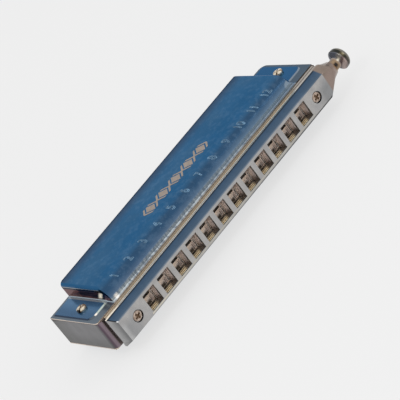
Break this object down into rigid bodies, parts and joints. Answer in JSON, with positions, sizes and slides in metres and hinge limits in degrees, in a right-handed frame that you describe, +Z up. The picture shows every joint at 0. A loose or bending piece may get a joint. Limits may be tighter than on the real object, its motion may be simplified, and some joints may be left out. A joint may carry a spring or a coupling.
{
  "type": "chromatic harmonica",
  "caption": "Slide harmonica with pressed metal covers, a bevelled mouthpiece with a row of square holes, and a sprung button at one end.",
  "frame": {"origin": "under the middle of the whole instrument, on the flat of the bottom cover that it rests on", "axes": "+X along the length towards the button, -Y out of the mouth holes towards the player, +Z up"},
  "size_m": [0.1632, 0.0408, 0.0272],
  "materials": {
    "nickel_block": "plain metal, mid grey on the end faces",
    "brass_plate": "rolled brass sheet",
    "reed_brass": "spring brass, brighter than the plates",
    "rivet_brass": "small riveted heads",
    "valve_film": "off-white valve film",
    "steel_screw": "slotted steel screws",
    "slide_metal": "warm nickel-coloured sheet, drawn along its length",
    "button_metal": "warm polished nickel",
    "spring_wire": "drawn spring wire",
    "buffer_rubber": "soft buffer",
    "mouthpiece_metal": "plated metal, polished on the bevels",
    "cover_metal": "polished pressed sheet with a deep blue look",
    "warm_screw": "plated brass screws with a warm tone"
  },
  "bodies": {
    "harmonica": {"comb": "nickel_block", "top_reed_plate": "brass_plate", "bottom_reed_plate": "brass_plate", "top_draw_reeds": "reed_brass", "top_blow_reeds": "reed_brass", "bottom_draw_reeds": "reed_brass", "bottom_blow_reeds": "reed_brass", "top_reed_rivets": "rivet_brass", "bottom_reed_rivets": "rivet_brass", "top_outer_valves": "valve_film", "top_inner_valves": "valve_film", "bottom_outer_valves": "valve_film", "bottom_inner_valves": "valve_film", "top_plate_screws": "steel_screw", "bottom_plate_screws": "steel_screw", "slide_back_plate": "slide_metal", "slide_housing": "slide_metal", "return_spring": "spring_wire", "slide_buffer": "buffer_rubber", "mouthpiece": "mouthpiece_metal", "mouthpiece_screws": "warm_screw", "top_cover": "cover_metal", "bottom_cover": "cover_metal", "cover_screws": "warm_screw", "cover_nuts": "warm_screw"},
    "slider": {"slide": "slide_metal", "slide_button": "button_metal"}
  },
  "joints": [
    {"name": "slide_press", "type": "slide", "parent": "harmonica", "child": "slider", "axis": [-1, 0, 0], "range_m": [0, 0.004], "stiffness_N_per_m": 400, "springref_m": -0.0025, "deforming": ["return_spring"]}
  ]
}
